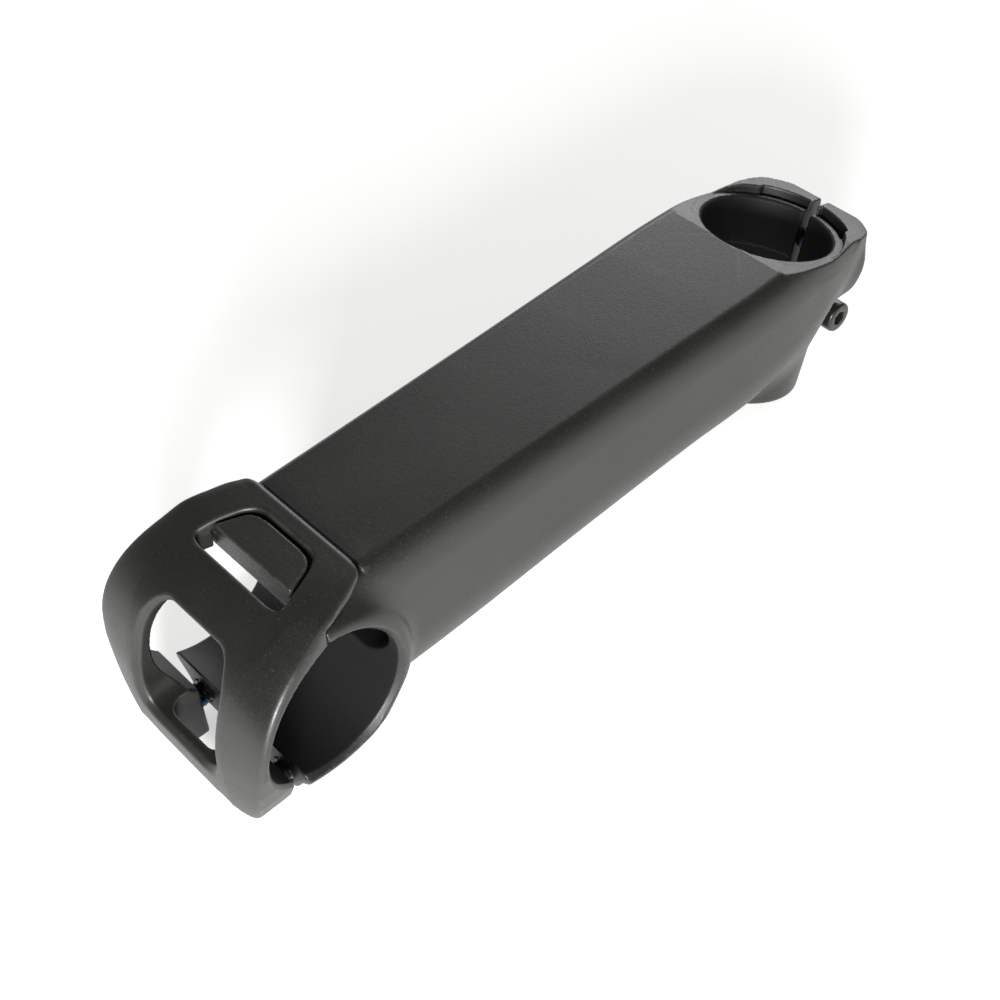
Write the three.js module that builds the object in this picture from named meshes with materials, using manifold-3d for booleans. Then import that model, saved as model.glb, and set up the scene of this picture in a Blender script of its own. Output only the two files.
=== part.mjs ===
// A bicycle handlebar stem: a hollow forged beam that clamps the fork's steerer tube at one end and the
// handlebar at the other. Millimetres, +Z up, +X towards the handlebar, +Y to the rider's left.
//
// The dimensions below are for a beam with a level top, whose steerer axis leans back. The finished stem is
// turned a little nose up, so that it lies on a table on its steerer clamp and the lugs of its faceplate.
import * as THREE from 'three';
import * as BufferGeometryUtils from 'three/addons/utils/BufferGeometryUtils.js';
import Module from 'manifold-3d';

const wasm = await Module();
wasm.setup();

// ---- Driving dimensions ---------------------------------------------------------------------------------
const GAP = 0.3;                    // clearance between pieces that rest on each other
const ROUND = 72;                   // segments of the two clamp bores

const LEAN = THREE.MathUtils.degToRad(15.8);   // the steerer axis against the vertical
const STEERER_HEIGHT = 42;          // the top of the steerer bore above the table
const STEERER_BORE = 14.3;          // radius, for a 28.6 mm steerer tube
const STEERER_RELIEF = 14.8;        // radius of the relief between the two clamping bands
const STEERER_STACK = 35;           // height of the steerer clamp along its axis
const BARREL_RADIUS = 16;           // outside of the steerer clamp's lower end
const SLIT = 1.8;                   // width of the slit behind the steerer
const FACE_RADIUS = 16.4;           // spot face around the top of the steerer bore
const FACE_HALF_WIDTH = 16;         // where the beam's sides cut the spot face short
const RIM_RISE = 1.8;               // rim around the spot face

const BAR = { x: 138.7, z: 25.2 };  // the handlebar's axis
const BAR_BORE = 15.95;             // radius, for a 31.8 mm bar
const RING_RADIUS = 18.8;           // outside of the fixed half of the bar clamp
const RING_HALF_WIDTH = 20.3;

const BEAM_TOP = 46.2;
const BEAM_BOTTOM = 8;
const SEAT = 45;                    // where the faceplate lies on the beam
const SEAT_BACK = 124.5;
const TONGUE_TOP = 47.3;
const UPPER_SPLIT = 137;            // front of the upper jaw and its tongue
const LOWER_SPLIT = 146.4;          // front of the lower jaw
const LUG_BACK = 149.4;             // back of the faceplate's lugs

// Screws: radius of the shank, of its hole, of the head and of the room around the head, head height, hex key.
const M5 = { shank: 2.5, hole: 2.8, head: 3.9, room: 4.2, height: 4, flats: 4 };
const M4 = { shank: 2, hole: 2.3, head: 3.5, room: 4.1, height: 4, flats: 3 };
const WASHER_THICKNESS = 0.8;
const PATCH_LENGTH = 2.4;           // thread-lock along the bolt

// Faceplate bolts: the axis passes through this point, forwards and slightly down.
const PLATE_BOLT = { x: 145.8, y: 12.4, z: 5.5, tilt: THREE.MathUtils.degToRad(3) };
const PLATE_SEAT = 4.8;             // from that point to the washer's seat in the lug
const PLATE_PATCH = 1.4;            // middle of the thread-lock
const PLATE_THREAD = 13;            // length of the shank behind that point

// Steerer clamp bolts, in the steerer's own frame: origin on the bore's top, +Z along its axis. They go in from
// opposite sides.
const CLAMP_BOLT_X = -17.8;
const CLAMP_BOLTS = {
  upper: { z: -7.2, seat: 7, side: -1 },
  lower: { z: -20.2, seat: 8.4, side: 1 },
};
const CLAMP_THREAD_END = -11;      // tip of the shank

const NOSE_UP = THREE.MathUtils.degToRad(1.5);   // the beam's top against the table

// ---- Solids ---------------------------------------------------------------------------------------------
function solid(geometry) {
  const flat = (geometry.index ? geometry.toNonIndexed() : geometry).clone();
  flat.deleteAttribute('normal');
  flat.deleteAttribute('uv');
  const merged = BufferGeometryUtils.mergeVertices(flat, 1e-4);
  return new wasm.Manifold(new wasm.Mesh({
    numProp: 3,
    vertProperties: new Float32Array(merged.attributes.position.array),
    triVerts: new Uint32Array(merged.index.array),
  }));
}

function union(parts) {
  return parts.reduce((all, part) => all.add(part));
}

function cut(body, tools) {
  return tools.reduce((left, tool) => left.subtract(tool), body);
}

const group = new THREE.Group();

function addMesh(name, body, material) {
  const mesh = body.getMesh();
  const geometry = new THREE.BufferGeometry();
  geometry.setAttribute('position', new THREE.Float32BufferAttribute(mesh.vertProperties, 3));
  geometry.setIndex(Array.from(mesh.triVerts));
  geometry.computeVertexNormals();
  const result = new THREE.Mesh(geometry, material);
  result.name = name;
  group.add(result);
}

// A closed skin over rings of points, all with the same number of points and turning the same way.
function loft(rings) {
  const count = rings[0].length;
  const points = rings.flat();
  const faces = [];
  for (let i = 0; i < rings.length - 1; i += 1) {
    for (let j = 0; j < count; j += 1) {
      const next = (j + 1) % count;
      const a = i * count + j;
      const b = i * count + next;
      faces.push(a, b, a + count, b, b + count, a + count);
    }
  }
  const last = (rings.length - 1) * count;
  for (const [start, flip] of [[0, true], [last, false]]) {
    const centre = new THREE.Vector3();
    for (let j = 0; j < count; j += 1) centre.addScaledVector(points[start + j], 1 / count);
    points.push(centre);
    for (let j = 0; j < count; j += 1) {
      const here = start + j;
      const next = start + ((j + 1) % count);
      faces.push(points.length - 1, flip ? next : here, flip ? here : next);
    }
  }
  const geometry = new THREE.BufferGeometry();
  geometry.setAttribute('position', new THREE.Float32BufferAttribute(points.flatMap((p) => p.toArray()), 3));
  geometry.setIndex(faces);
  const result = solid(geometry);
  if (result.volume() > 0) return result;
  for (let i = 0; i < faces.length; i += 3) [faces[i + 1], faces[i + 2]] = [faces[i + 2], faces[i + 1]];
  geometry.setIndex(faces);
  return solid(geometry);
}

// An outline that is alike on both sides of Y, from its [x, y] corners on the +Y side, front to back.
function mirroredOutline(corners) {
  const far = corners.map(([x, y]) => new THREE.Vector2(x, -y)).reverse();
  return new THREE.Shape([...corners.map(([x, y]) => new THREE.Vector2(x, y)), ...far]);
}

// A box with rounded corners in the plane across `axis`, centred on the origin.
function roundedBox(width, height, depth, radius) {
  const x = width / 2 - radius;
  const y = height / 2 - radius;
  const shape = new THREE.Shape();
  shape.absarc(x, y, radius, 0, Math.PI / 2, false);
  shape.absarc(-x, y, radius, Math.PI / 2, Math.PI, false);
  shape.absarc(-x, -y, radius, Math.PI, Math.PI * 1.5, false);
  shape.absarc(x, -y, radius, Math.PI * 1.5, Math.PI * 2, false);
  const geometry = new THREE.ExtrudeGeometry(shape, { depth, bevelEnabled: false, curveSegments: 6 });
  geometry.translate(0, 0, -depth / 2);
  return geometry;
}

function box(low, high) {
  const size = high.map((value, i) => value - low[i]);
  const geometry = new THREE.BoxGeometry(...size);
  geometry.translate(...low.map((value, i) => value + size[i] / 2));
  return geometry;
}

// A round solid on the Z axis, from its profile of [radius, z] points.
function turned(profile, segments) {
  const points = profile.map(([r, z]) => new THREE.Vector2(r, z));
  return new THREE.LatheGeometry(points, segments).rotateX(Math.PI / 2);
}

function rod(radius, low, high, segments = 32) {
  return turned([[0, low], [radius, low], [radius, high], [0, high]], segments);
}

function ring(inner, outer, low, high, segments = 32) {
  return turned([[inner, low], [outer, low], [outer, high], [inner, high], [inner, low]], segments);
}

// ---- Placing things on the three axes -------------------------------------------------------------------
// The steerer's frame in the object's frame.
const steererFrame = new THREE.Matrix4()
  .makeRotationY(-LEAN)
  .setPosition(0, 0, STEERER_HEIGHT);

function onSteerer(geometry) {
  return solid(geometry.applyMatrix4(steererFrame));
}

// The handlebar's frame: its axis lies along Y.
function onBar(geometry) {
  return solid(geometry.rotateX(-Math.PI / 2).translate(BAR.x, 0, BAR.z));
}

// A bolt's frame: +Z runs from the thread towards the head.
function plateBoltFrame(side) {
  const frame = new THREE.Matrix4().makeRotationY(Math.PI / 2 + PLATE_BOLT.tilt);
  return frame.setPosition(PLATE_BOLT.x, side * PLATE_BOLT.y, PLATE_BOLT.z);
}

function clampBoltFrame(bolt) {
  const frame = new THREE.Matrix4().makeRotationX(-bolt.side * Math.PI / 2)
    .setPosition(CLAMP_BOLT_X, 0, bolt.z);
  return steererFrame.clone().multiply(frame);
}

// ---- Stem body ------------------------------------------------------------------------------------------
// The beam's section at one place along X: a level top with soft corners and a rounder underside.
function beamRing(x, halfWidth, top, bottom) {
  const corner = { y: Math.min(5, halfWidth), z: Math.min(9, (top - bottom) * 0.4) };
  const belly = { y: Math.min(9, halfWidth), z: Math.min(15, (top - bottom) * 0.55) };
  const ring = [];
  const arc = (side, up, size, reverse) => {
    for (let i = 0; i <= 8; i += 1) {
      const angle = ((reverse ? 8 - i : i) / 8) * (Math.PI / 2);
      const y = halfWidth - size.y + size.y * Math.cos(angle);
      const z = size.z * Math.sin(angle);
      ring.push(new THREE.Vector3(x, side * y, up > 0 ? top - size.z + z : bottom + size.z - z));
    }
  };
  arc(1, 1, corner, false);
  arc(-1, 1, corner, true);
  arc(-1, -1, belly, false);
  arc(1, -1, belly, true);
  return ring;
}

// Stations along the beam: place, half width, top, bottom.
const BEAM = [
  [-20, 13, 45.9, 35],
  [-15, 14.8, 46.1, 29],
  [-8, 16.4, BEAM_TOP, 23],
  [0, 17.7, BEAM_TOP, 17.5],
  [8, 18.5, BEAM_TOP, 14.4],
  [20, 19, BEAM_TOP, 12.8],
  [40, 18.7, BEAM_TOP, 12],
  [70, 18.1, BEAM_TOP, 10.4],
  [110, 17.5, BEAM_TOP, BEAM_BOTTOM],
  [BAR.x, 17.2, BEAM_TOP, BEAM_BOTTOM],
];

// Stations down the back of the steerer clamp, in the steerer's frame: height, back, half width.
const HEEL = [
  [3, -17.8, 13.6],
  [1.7, -18.2, 14],
  [-3.2, -19.8, 14.6],
  [-5.5, -20.3, 14.6],
  [-9.6, -19.6, 14.4],
  [-12.7, -18.5, 13.8],
  [-15, -16.4, 12.6],
  [-18, -13.5, 11],
  [-24, -8, 9],
];

// The back edge is a little convex, with round corners.
function heelRing(z, back, halfWidth) {
  const corner = 2.8;
  const side = [];
  for (let i = 0; i <= 6; i += 1) {
    const angle = (i / 6) * (Math.PI / 2);
    side.push([back + corner * (1 - Math.sin(angle)), halfWidth - corner * (1 - Math.cos(angle))]);
  }
  side.push([back, halfWidth * 0.4]);
  const far = side.map(([x, y]) => [x, -y]).reverse();
  return [[0, halfWidth], ...side, ...far, [0, -halfWidth]].map(([x, y]) => {
    const bow = x < 0 ? 1.2 * (y / halfWidth) ** 2 : 0;
    return new THREE.Vector3(x + bow, y, z).applyMatrix4(steererFrame);
  });
}

// Stations along the hollow inside the beam, which opens wide into the bar clamp.
const HOLLOW = [
  [27, 12, 40, 20],
  [36, 13.5, 41, 16.5],
  [104, 14.6, 41, 15.5],
  [114, 15.4, 41, 18.5],
  [122, 17, 40.5, 19.8],
  [127, 17.4, 40.5, 19.8],
];

// The lower jaw's section at one place along X: flat below, with sides that lean out to the bar clamp's width.
function jawRing(x, bottom, inset) {
  const side = [[18, 20.3], [11, 20.5], [8, 18.9], [5, 17.2], [bottom + 0.8, 15.2], [bottom, 14]];
  const far = side.map(([z, y]) => [z, -y]).reverse();
  return [...side, ...far].map(([z, y]) => new THREE.Vector3(x, y - Math.sign(y) * inset, z));
}

// Half outline of the tongue that the faceplate hooks over.
const TONGUE = [[UPPER_SPLIT, 10.9], [134.8, 10.2], [131, 8.4], [130.1, 7.2], [129.8, 6]];

function stemBody() {
  const beam = loft(BEAM.map(([x, halfWidth, top, bottom]) => beamRing(x, halfWidth, top, bottom)));
  const barrel = onSteerer(turned([[0, -STEERER_STACK], [BARREL_RADIUS - 1.5, -STEERER_STACK],
    [BARREL_RADIUS, -STEERER_STACK + 1.8], [BARREL_RADIUS + 0.6, -14], [0, -14]], ROUND));
  const ears = onSteerer(roundedBox(9, 17.4, 24, 2.5).translate(-16.2, 0, -15));
  const heel = loft(HEEL.map(([z, back, halfWidth]) => heelRing(z, back, halfWidth)));
  const clampRing = onBar(turned([[0, -RING_HALF_WIDTH], [RING_RADIUS - 1.7, -RING_HALF_WIDTH],
    [RING_RADIUS - 0.4, -RING_HALF_WIDTH + 2], [RING_RADIUS, -17.5], [RING_RADIUS, 17.5],
    [RING_RADIUS - 0.4, RING_HALF_WIDTH - 2], [RING_RADIUS - 1.7, RING_HALF_WIDTH],
    [0, RING_HALF_WIDTH]], ROUND));
  const flare = onBar(turned([[0, -19.6], [18.9, -19.6], [19.4, -18.4], [20.8, -17.2], [25, -16.2],
    [25, 16.2], [20.8, 17.2], [19.4, 18.4], [18.9, 19.6], [0, 19.6]], ROUND))
    .intersect(solid(box([BAR.x - 30, -20, BEAM_BOTTOM + 6], [BAR.x - 6, 20, BEAM_TOP - 6])));
  const jaw = loft([[BAR.x - 22, 4, 6], [BAR.x - 14, 2.8, 2.6], [BAR.x - 8, 2, 0.7], [LOWER_SPLIT + 1, 1.6, 0]]
    .map(([x, bottom, inset]) => jawRing(x, bottom, inset)));
  const outside = union([beam, barrel, ears, heel, clampRing, flare, jaw]);

  // Trim the top of the steerer clamp to its rim, then sink the spot face inside the rim.
  const aboveRim = onSteerer(box([-40, -30, RIM_RISE], [25, 30, 30]));
  const widest = onSteerer(box([-40, -FACE_HALF_WIDTH, 0], [40, FACE_HALF_WIDTH, 30]));
  const spotFace = onSteerer(rod(FACE_RADIUS, 0, 30, ROUND)).intersect(widest)
    .add(onSteerer(box([-1, -20, 0], [40, 20, 30])));
  const frontAbove = solid(box([UPPER_SPLIT, -40, BAR.z - 6], [200, 40, 80]));
  const frontBelow = solid(box([LOWER_SPLIT, -40, -20], [200, 40, BAR.z + 20]));
  const seat = solid(box([SEAT_BACK, -40, SEAT], [200, 40, 80]));
  const trimmed = cut(outside, [aboveRim, spotFace, frontAbove, frontBelow, seat]);

  const tongue = solid(new THREE.ExtrudeGeometry(mirroredOutline(TONGUE), { depth: TONGUE_TOP - SEAT + 1.5,
    bevelEnabled: false }).translate(0, 0, SEAT - 1.5));

  const bores = [
    onSteerer(rod(STEERER_BORE, -60, 30, ROUND)),
    onSteerer(rod(STEERER_RELIEF, -29, -11.5, ROUND)),
    onSteerer(box([-40, -SLIT / 2, -60], [-10, SLIT / 2, 30])),
    onBar(rod(BAR_BORE, -40, 40, ROUND)),
  ];
  const pocketRing = onSteerer(ring(FACE_RADIUS, FACE_RADIUS + 1.2, -2.5, 6, ROUND));
  const pockets = [-1, 1].map((side) => pocketRing.intersect(onSteerer(
    roundedBox(20, 8, 20, 1).translate(-20, side * 6, 0))));
  const hollow = loft(HOLLOW.map(([x, halfWidth, top, bottom]) => beamRing(x, halfWidth, top, bottom)));
  const cableExit = solid(roundedBox(26, 14, 20, 6).translate(40, 0, 12));

  const boltHoles = [];
  for (const side of [-1, 1]) {
    boltHoles.push(solid(rod(M5.hole, -PLATE_THREAD - 2, 30, 24).applyMatrix4(plateBoltFrame(side))));
  }
  for (const bolt of Object.values(CLAMP_BOLTS)) {
    const frame = clampBoltFrame(bolt);
    boltHoles.push(solid(rod(M4.hole, CLAMP_THREAD_END - 1, 30, 24).applyMatrix4(frame)));
    boltHoles.push(solid(rod(M4.room, bolt.seat, 40, 32).applyMatrix4(frame)));
  }
  return cut(trimmed.add(tongue), [...bores, ...pockets, hollow, cableExit, ...boltHoles]);
}

// ---- Faceplate ------------------------------------------------------------------------------------------
// Stations around the faceplate, from its back edge on top of the beam to its lugs: the skin's outer point
// and inner point in the XZ plane, the half width of its flat panel and of its side edges, and how far the
// side edges lie inside the panel.
const PLATE = [
  { out: [124.8, 47.7], side: [125, 46.9], in: [124.8, SEAT + GAP], panel: 11.5, edge: 13.8 },
  { out: [125.6, 47.9], side: [125.8, 46.9], in: [125.6, SEAT + GAP], panel: 12.6, edge: 15.4 },
  { out: [127.6, 48], side: [127.8, 46.8], in: [127.6, SEAT + GAP], panel: 14, edge: 16.9 },
  { out: [132.5, 47.9], side: [132.6, 46.4], in: [132.5, SEAT + GAP], panel: 15.6, edge: 18.9 },
  { out: [137, 47.3], side: [136.9, 45.9], in: [UPPER_SPLIT + GAP, 42], panel: 16.2, edge: 20.4 },
  { out: [141.6, 46], side: [140.8, 44.2], in: [140, 38], panel: 16, edge: 21.4 },
  { out: [146.6, 43.9], side: [145.8, 42], in: [142, 36], panel: 15.6, edge: 22.5 },
  { out: [150.4, 41.4], side: [149.2, 39.8], in: [144, 34], panel: 15, edge: 23.2 },
  { out: [153.3, 38.3], side: [151.9, 37.2], in: [146, 32], panel: 14.6, edge: 23.7 },
  { out: [155.7, 34.2], side: [154.2, 33.8], in: [147, 29], panel: 14.2, edge: 24.1 },
  { out: [157.4, 29.4], side: [155.8, 29.4], in: [147.8, 26], panel: 14, edge: 24.3 },
  { out: [158.6, 24], side: [156.6, 24.2], in: [LUG_BACK, 22], panel: 14, edge: 23.8 },
  { out: [159.1, 18], side: [156.9, 18.4], in: [LUG_BACK, 18], panel: 14, edge: 22.4 },
  { out: [159.1, 12.5], side: [156.9, 12.5], in: [LUG_BACK, 12.5], panel: 14, edge: 20.9 },
  { out: [158.6, 8], side: [156.4, 7.5], in: [LUG_BACK, 8], panel: 14, edge: 19.1 },
  { out: [157.4, 4.4], side: [155.4, 3.4], in: [LUG_BACK, 4], panel: 13.6, edge: 16.8 },
  { out: [155.6, 1.6], side: [154, 1.2], in: [LUG_BACK, 1.4], panel: 12.8, edge: 15 },
  { out: [153.6, 0.2], side: [153, 0.2], in: [LUG_BACK + 0.4, 0.2], panel: 12, edge: 14 },
];

// Between the two lugs the lower window's sill is cut away behind.
const SCALLOP = { front: 156.2, halfWidth: 7.4 };

// Half outlines of the windows: [x, y] for the upper one, [-z, y] for the lower one.
const UPPER_WINDOW = [[141, 10.9], [140.6, 11.8], [139.6, 12.2], [135, 11], [130.4, 8.9], [129.3, 7.8],
  [129, 6.3]];
const LOWER_WINDOW = [[-15, 8.6], [-15.8, 10.4], [-17.6, 11.2], [-30, 11.8], [-36, 11.4], [-39.4, 9.8],
  [-40.4, 8]];

function plateRing({ out, side, in: inner, panel, edge }) {
  const flank = [];
  const steps = 5;
  for (let i = 0; i <= steps; i += 1) {
    const turn = (i / steps) * (Math.PI / 2);
    const fall = 1 - Math.cos(turn);
    flank.push(new THREE.Vector3(
      THREE.MathUtils.lerp(out[0], side[0], fall),
      THREE.MathUtils.lerp(panel, edge, Math.sin(turn)),
      THREE.MathUtils.lerp(out[1], side[1], fall),
    ));
  }
  flank.push(new THREE.Vector3(inner[0], edge, inner[1]));
  const mirrored = flank.map((p) => new THREE.Vector3(p.x, -p.y, p.z)).reverse();
  return [...flank, ...mirrored];
}

function faceplate() {
  const skin = loft(PLATE.map(plateRing));
  const bore = onBar(rod(BAR_BORE, -40, 40, ROUND));
  const upperWindow = solid(new THREE.ExtrudeGeometry(mirroredOutline(UPPER_WINDOW), { depth: 20,
    bevelEnabled: false }).translate(0, 0, 38));
  const lowerWindow = solid(new THREE.ExtrudeGeometry(mirroredOutline(LOWER_WINDOW), { depth: 30,
    bevelEnabled: false }).rotateY(Math.PI / 2).translate(144, 0, 0));
  const scallop = solid(roundedBox(SCALLOP.front - 130, 2 * SCALLOP.halfWidth, 30, 3)
    .translate((SCALLOP.front + 130) / 2, 0, 10));
  const upperJaw = solid(box([0, -40, 0], [UPPER_SPLIT + GAP, 40, SEAT + GAP]));
  const tools = [bore, upperWindow, lowerWindow, scallop, upperJaw];
  for (const side of [-1, 1]) {
    const frame = plateBoltFrame(side);
    tools.push(solid(rod(M5.hole, -20, 30, 24).applyMatrix4(frame)));
    tools.push(solid(rod(M5.room, PLATE_SEAT, 40, 32).applyMatrix4(frame)));
  }
  return cut(skin, tools);
}

// ---- Bolts ----------------------------------------------------------------------------------------------
function hexSocket(flats, bottom, top) {
  const radius = flats / Math.sqrt(3);
  return new THREE.CylinderGeometry(radius, radius, top - bottom, 6)
    .rotateX(Math.PI / 2).translate(0, 0, (top + bottom) / 2);
}

// A socket head bolt on its own axis: the head stands on `seat`, the shank runs down to `tip`, and a shallow
// groove around `patch` holds the thread-lock.
function bolt(screw, seat, tip, patch, frame) {
  const top = seat + screw.height;
  const low = patch - PATCH_LENGTH / 2 - GAP;
  const high = patch + PATCH_LENGTH / 2 + GAP;
  const { shank, head } = screw;
  const body = solid(turned([[0, tip], [shank - 0.6, tip], [shank, tip + 0.6], [shank, low],
    [shank - 0.8, low], [shank - 0.8, high], [shank, high], [shank, seat],
    [head, seat], [head, top - 0.5], [head - 0.5, top], [0, top]], 32)
    .applyMatrix4(frame));
  return body.subtract(solid(hexSocket(screw.flats, top - 2.4, top + 1).applyMatrix4(frame)));
}

const blackAluminium = () => new THREE.MeshStandardMaterial({ color: 0x1b1c1d, roughness: 0.55, metalness: 0.5 });
const boltSteel = () => new THREE.MeshStandardMaterial({ color: 0x2a2a2c, roughness: 0.4, metalness: 0.9 });
const washerSteel = () => new THREE.MeshStandardMaterial({ color: 0x3a3a3c, roughness: 0.45, metalness: 0.9 });
const threadLock = () => new THREE.MeshStandardMaterial({ color: 0x0f6fc4, roughness: 0.6, metalness: 0 });

// A bolt with its washer and the sleeve of thread-lock around its shank.
function addBolt(name, screw, frame, seat, tip, patch) {
  const washerTop = seat + GAP + WASHER_THICKNESS;
  addMesh(`${name}_bolt`, bolt(screw, washerTop + GAP, tip, patch, frame), boltSteel());
  addMesh(`${name}_washer`, solid(ring(screw.shank + GAP, screw.head, seat + GAP, washerTop)
    .applyMatrix4(frame)), washerSteel());
  addMesh(`${name}_threadlock`, solid(ring(screw.shank - 0.5, screw.shank, patch - PATCH_LENGTH / 2,
    patch + PATCH_LENGTH / 2).applyMatrix4(frame)), threadLock());
}

addMesh('stem_body', stemBody(), blackAluminium());
addMesh('faceplate', faceplate(), blackAluminium());
for (const [name, side] of [['faceplate_left', 1], ['faceplate_right', -1]]) {
  addBolt(name, M5, plateBoltFrame(side), PLATE_SEAT, -PLATE_THREAD, PLATE_PATCH);
}
for (const [name, place] of Object.entries(CLAMP_BOLTS)) {
  addBolt(`steerer_${name}`, M4, clampBoltFrame(place), place.seat, CLAMP_THREAD_END, 0);
}

// ---- Lying on the table ---------------------------------------------------------------------------------
// Turned nose up, then moved so that the origin is the bottom centre of the whole stem's box.
const placing = new THREE.Matrix4().makeRotationY(-NOSE_UP);
for (const mesh of group.children) mesh.geometry.applyMatrix4(placing);
const bounds = new THREE.Box3().setFromObject(group);
const middle = bounds.getCenter(new THREE.Vector3());
for (const mesh of group.children) mesh.geometry.translate(-middle.x, -middle.y, -bounds.min.z);

export default group;
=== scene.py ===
"""A black alloy bicycle stem: looks, floor, light and camera.

The body and the faceplate are implicit solids, meshed here with small round edges where the real parts have
them. The bolts have real threads. Lengths in the shape code are millimetres in the design frame, where the top
of the beam is level; `place` turns and moves them onto the CAD model, in metres.
"""
import math

import bpy
import numpy as np
from mathutils import Matrix, Vector


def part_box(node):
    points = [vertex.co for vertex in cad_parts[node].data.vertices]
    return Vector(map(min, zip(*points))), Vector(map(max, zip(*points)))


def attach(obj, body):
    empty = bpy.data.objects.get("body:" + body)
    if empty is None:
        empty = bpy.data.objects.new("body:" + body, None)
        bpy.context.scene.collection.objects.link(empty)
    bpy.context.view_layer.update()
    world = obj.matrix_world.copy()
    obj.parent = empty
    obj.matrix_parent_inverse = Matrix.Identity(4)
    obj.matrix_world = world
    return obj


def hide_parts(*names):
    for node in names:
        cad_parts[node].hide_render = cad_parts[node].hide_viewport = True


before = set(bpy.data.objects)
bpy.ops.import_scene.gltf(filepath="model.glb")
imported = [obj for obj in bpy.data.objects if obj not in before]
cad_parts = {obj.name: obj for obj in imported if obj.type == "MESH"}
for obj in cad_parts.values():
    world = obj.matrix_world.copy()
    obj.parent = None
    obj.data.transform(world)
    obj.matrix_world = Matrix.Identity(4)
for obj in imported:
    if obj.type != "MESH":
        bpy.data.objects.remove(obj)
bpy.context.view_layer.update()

LEAN = math.radians(15.8)           # steerer axis against the vertical
NOSE_UP = math.radians(1.5)         # top of the beam against the floor
STEERER_TOP = 42.0                  # height of the steerer bore's top on its axis
STEERER_BORE, STEERER_RELIEF, STEERER_STACK = 14.3, 14.8, 35.0
BARREL = 16.0                       # outer radius round the lower steerer bore
FACE = 16.4                         # radius of the spot face round the steerer bore
FACE_HALF = 16.0                    # where the beam's sides cut the spot face short
RIM = 1.8                           # rise of the rim over the spot face
SLIT = 1.8                          # width of the saw cut that lets the clamp close
BAR_X, BAR_Z, BAR_BORE = 138.7, 25.2, 15.95     # the handlebar's axis, along Y
RING, RING_HALF = 18.8, 20.3        # outer radius and half width of the clamp round the bar
SEAT, SEAT_BACK, TONGUE_TOP = 45.0, 124.5, 47.3     # the step that the faceplate's hook lies on
UPPER_SPLIT, LOWER_SPLIT, LUG_BACK = 137.0, 146.4, 149.4
GAP = 0.3                           # clearance between pieces
MOST_FACES = 190_000                # triangles in one piece
LONG_FACE = 0.0016                  # metres; longer faces lie across a flat



# ---- From the design frame to the CAD frame ---------------------------------------------------------------
def turned(x, z):
    return (x * math.cos(NOSE_UP) - z * math.sin(NOSE_UP), x * math.sin(NOSE_UP) + z * math.cos(NOSE_UP))


BOLT_X = -17.8                      # the steerer bolts' place in the steerer's own frame
STEERER_BOLTS = {"upper": (-7.2, 7.0, -1), "lower": (-20.2, 8.4, 1)}    # height, seat, side


def steerer_point(x, z):
    return (x * math.cos(LEAN) - z * math.sin(LEAN), 0.0, x * math.sin(LEAN) + z * math.cos(LEAN) + STEERER_TOP)


# A washer of the CAD model fixes the shift between the frames.
low_corner, high_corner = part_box("steerer_lower_washer")
WASHER = (Vector(low_corner) + Vector(high_corner)) / 2 * 1000
washer_at = steerer_point(BOLT_X, STEERER_BOLTS["lower"][0])
washer_x, washer_z = turned(washer_at[0], washer_at[2])
SHIFT = (WASHER.x - washer_x, WASHER.z - washer_z)


def place(points):
    """Points in the design frame, in millimetres, to the CAD frame, in metres."""
    p = np.asarray(points, float)
    x, z = turned(p[..., 0], p[..., 2])
    return np.stack([x + SHIFT[0], p[..., 1], z + SHIFT[1]], -1) / 1000


def place_direction(d):
    x, z = turned(d[0], d[2])
    return Vector((x, d[1], z))


# ---- Implicit solids: negative inside ---------------------------------------------------------------------
def smin(a, b, k):
    h = np.clip(0.5 + 0.5 * (b - a) / k, 0, 1)
    return b * (1 - h) + a * h - k * h * (1 - h)


def smax(a, b, k):
    return -smin(-a, -b, k)


def curve(stations, column, at):
    """A smooth curve through the stations' values: Hermite, with slopes from the neighbours."""
    xs = np.array([s[0] for s in stations], float)
    ys = np.array([s[column] for s in stations], float)
    slope = np.gradient(ys, xs)
    at = np.clip(at, xs[0], xs[-1])
    i = np.clip(np.searchsorted(xs, at) - 1, 0, len(xs) - 2)
    h = xs[i + 1] - xs[i]
    t = (at - xs[i]) / h
    return ((2 * t**3 - 3 * t**2 + 1) * ys[i] + (t**3 - 2 * t**2 + t) * h * slope[i]
            + (-2 * t**3 + 3 * t**2) * ys[i + 1] + (t**3 - t**2) * h * slope[i + 1])


def corner(u, v, cu, cv):
    """Distance to an elliptical corner, from distances to its two sides."""
    a = np.maximum(u + cu, 0) / cu
    b = np.maximum(v + cv, 0) / cv
    rho = np.sqrt(a * a + b * b) + 1e-9
    return (rho - 1) * rho / np.sqrt((a / cu) ** 2 + (b / cv) ** 2 + 1e-12)


def section(y, z, half, top, bottom, cy, cz, by, bz):
    """A box section with soft top corners and a rounder belly."""
    side, up, down = np.abs(y) - half, z - top, bottom - z
    flat = np.maximum(np.maximum(side, up), down)
    high = np.where((side > -cy) & (up > -cz), corner(side, up, cy, cz), flat)
    return np.where((side > -by) & (down > -bz), corner(side, down, by, bz), high)


def box2(u, v, r):
    """A rounded box from distances past its sides."""
    a, b = u + r, v + r
    return np.hypot(np.maximum(a, 0), np.maximum(b, 0)) + np.minimum(np.maximum(a, b), 0) - r


def outline_distance(u, v, corners, r):
    """Distance to a convex outline given by its corners, with the corners rounded by r."""
    d = None
    middle = np.mean(corners, 0)
    for p, q in zip(corners, corners[1:] + corners[:1]):
        p, q = np.array(p, float), np.array(q, float)
        e = (q - p) / np.linalg.norm(q - p)
        normal = np.array([e[1], -e[0]])
        if normal @ (middle - p) > 0:
            normal = -normal
        side = (u - p[0]) * normal[0] + (v - p[1]) * normal[1]
        d = side if d is None else smax(d, side, r)
    return d


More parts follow.
